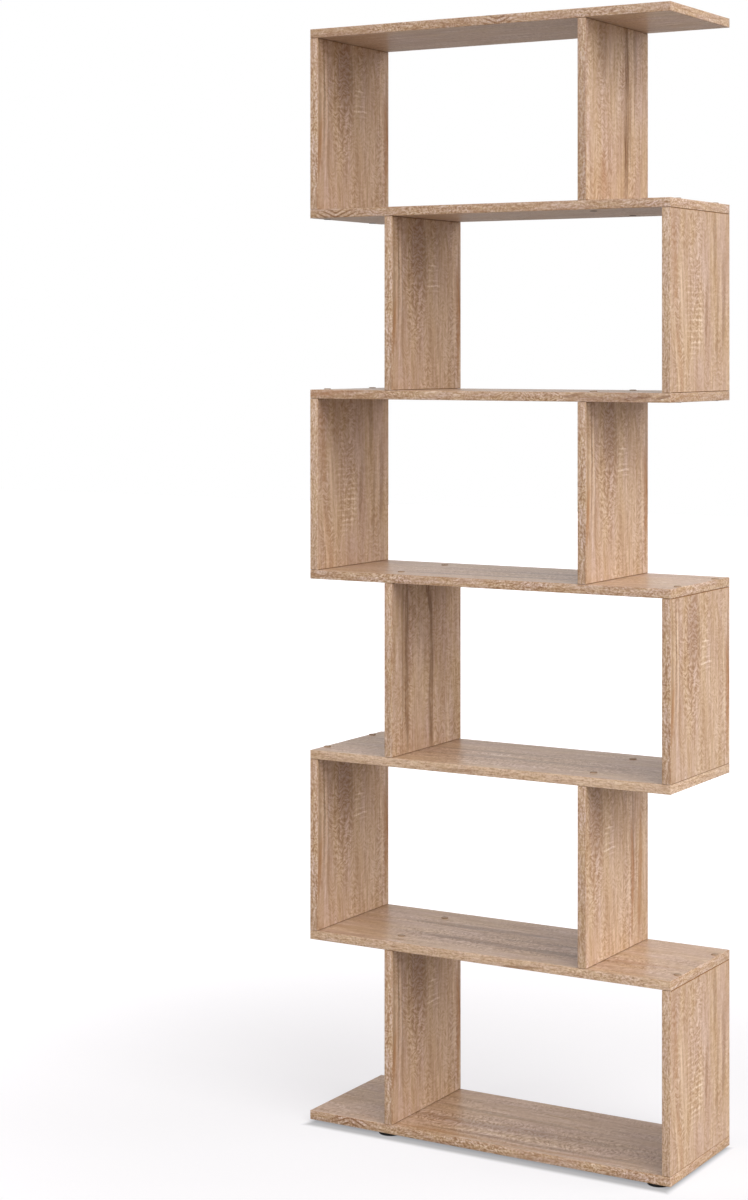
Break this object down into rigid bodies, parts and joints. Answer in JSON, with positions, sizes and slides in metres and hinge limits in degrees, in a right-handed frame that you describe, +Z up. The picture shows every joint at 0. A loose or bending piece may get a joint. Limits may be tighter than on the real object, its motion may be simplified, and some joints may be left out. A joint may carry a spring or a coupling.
{
  "type": "zigzag bookshelf",
  "caption": "Tall free-standing open bookshelf: full-width boards on uprights set in alternately from the left and the right end, in light oak-look laminate on low black glides.",
  "frame": {"origin": "on the floor, at the middle of the shelf's width and depth", "axes": "+Z up; the front faces -Y; +X is to the right as seen from the front"},
  "size_m": [0.7, 0.25, 1.953],
  "materials": {
    "oak_laminate": "light greyed-oak woodgrain laminate on chipboard, matt to satin",
    "oak_edge_band": "woodgrain edge band, satin",
    "black_plastic": "moulded black plastic, matt",
    "zinc_plated_steel": "bright zinc plate",
    "cover_cap_plastic": "moulded brown plastic, matt"
  },
  "bodies": {
    "root": {"base_board": "oak_laminate", "shelf_board_1": "oak_laminate", "shelf_board_2": "oak_laminate", "shelf_board_3": "oak_laminate", "shelf_board_4": "oak_laminate", "shelf_board_5": "oak_laminate", "top_board": "oak_laminate", "panel_1_inner_left": "oak_laminate", "panel_1_outer_right": "oak_laminate", "panel_2_outer_left": "oak_laminate", "panel_2_inner_right": "oak_laminate", "panel_3_inner_left": "oak_laminate", "panel_3_outer_right": "oak_laminate", "panel_4_outer_left": "oak_laminate", "panel_4_inner_right": "oak_laminate", "panel_5_inner_left": "oak_laminate", "panel_5_outer_right": "oak_laminate", "panel_6_outer_left": "oak_laminate", "panel_6_inner_right": "oak_laminate", "foot_left_front": "black_plastic", "foot_left_rear": "black_plastic", "foot_right_front": "black_plastic", "foot_right_rear": "black_plastic", "screw_1_inner_left_top_front": "zinc_plated_steel", "screw_1_inner_left_top_rear": "zinc_plated_steel", "screw_1_inner_left_bottom_front": "zinc_plated_steel", "screw_1_outer_right_top_front": "zinc_plated_steel", "screw_1_outer_right_top_rear": "zinc_plated_steel", "screw_1_outer_right_bottom_front": "zinc_plated_steel", "screw_2_outer_left_top_front": "zinc_plated_steel", "screw_2_outer_left_top_rear": "zinc_plated_steel", "screw_2_outer_left_bottom_front": "zinc_plated_steel", "screw_2_inner_right_top_front": "zinc_plated_steel", "screw_2_inner_right_top_rear": "zinc_plated_steel", "screw_2_inner_right_bottom_front": "zinc_plated_steel", "screw_3_inner_left_top_front": "zinc_plated_steel", "screw_3_inner_left_top_rear": "zinc_plated_steel", "screw_3_inner_left_bottom_front": "zinc_plated_steel", "screw_3_outer_right_top_front": "zinc_plated_steel", "screw_3_outer_right_top_rear": "zinc_plated_steel", "screw_3_outer_right_bottom_front": "zinc_plated_steel", "screw_4_outer_left_top_front": "zinc_plated_steel", "screw_4_outer_left_top_rear": "zinc_plated_steel", "screw_4_outer_left_bottom_front": "zinc_plated_steel", "screw_4_inner_right_top_front": "zinc_plated_steel", "screw_4_inner_right_top_rear": "zinc_plated_steel", "screw_4_inner_right_bottom_front": "zinc_plated_steel", "screw_5_inner_left_top_front": "zinc_plated_steel", "screw_5_inner_left_top_rear": "zinc_plated_steel", "screw_5_inner_left_bottom_front": "zinc_plated_steel", "screw_5_outer_right_top_front": "zinc_plated_steel", "screw_5_outer_right_top_rear": "zinc_plated_steel", "screw_5_outer_right_bottom_front": "zinc_plated_steel", "screw_6_outer_left_top_front": "zinc_plated_steel", "screw_6_outer_left_top_rear": "zinc_plated_steel", "screw_6_outer_left_bottom_front": "zinc_plated_steel", "screw_6_inner_right_top_front": "zinc_plated_steel", "screw_6_inner_right_top_rear": "zinc_plated_steel", "screw_6_inner_right_bottom_front": "zinc_plated_steel"}
  },
  "joints": []
}
